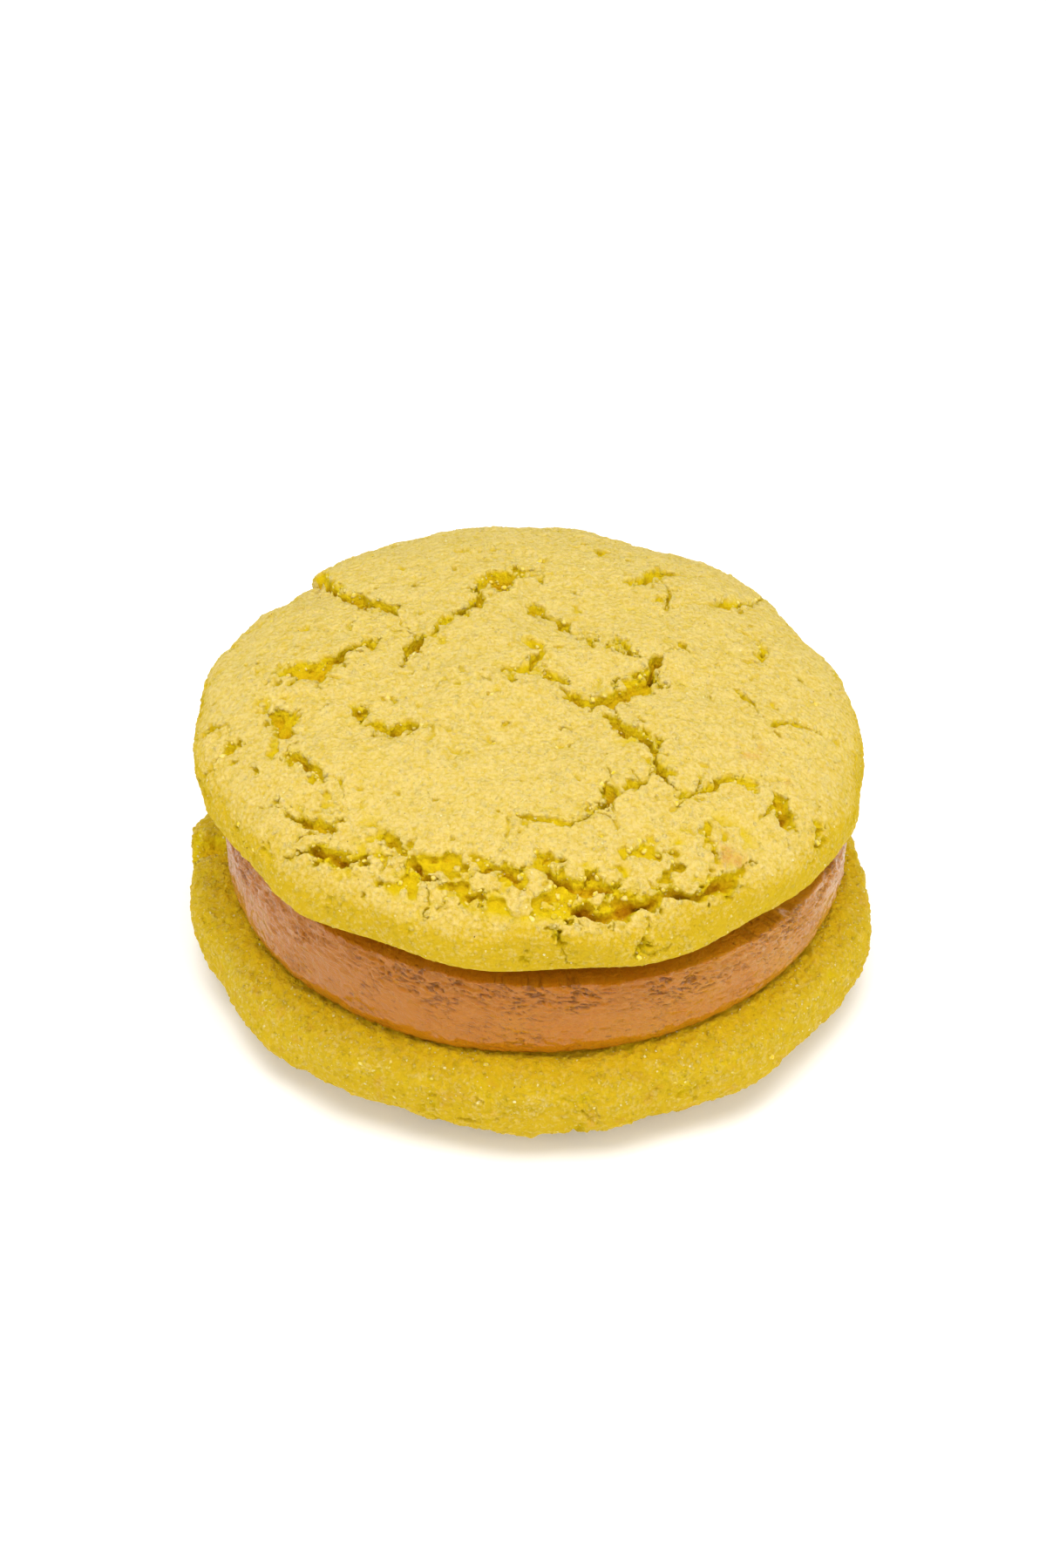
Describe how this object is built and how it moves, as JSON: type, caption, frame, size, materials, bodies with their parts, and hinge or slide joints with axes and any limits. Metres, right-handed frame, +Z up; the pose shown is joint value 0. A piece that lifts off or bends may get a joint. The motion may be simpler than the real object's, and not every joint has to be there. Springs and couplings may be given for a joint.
{
  "type": "fruit-filled sandwich cookie",
  "caption": "Round sandwich cookie: two thick crackled yellow cookies with a disc of firm amber fruit jelly between them, lying flat.",
  "frame": {"origin": "middle of the footprint, on the surface the cookie lies on", "axes": "+Z up through the stack; +X to the right and +Y away as the picture shows it"},
  "size_m": [0.0758, 0.0755, 0.0374],
  "materials": {
    "baked_dough": "matte sandy yellow crumb",
    "fruit_jelly": "wet, slightly cloudy amber jelly"
  },
  "bodies": {
    "root": {"cookie_top": "baked_dough", "fruit_filling": "fruit_jelly", "cookie_bottom": "baked_dough"}
  },
  "joints": []
}
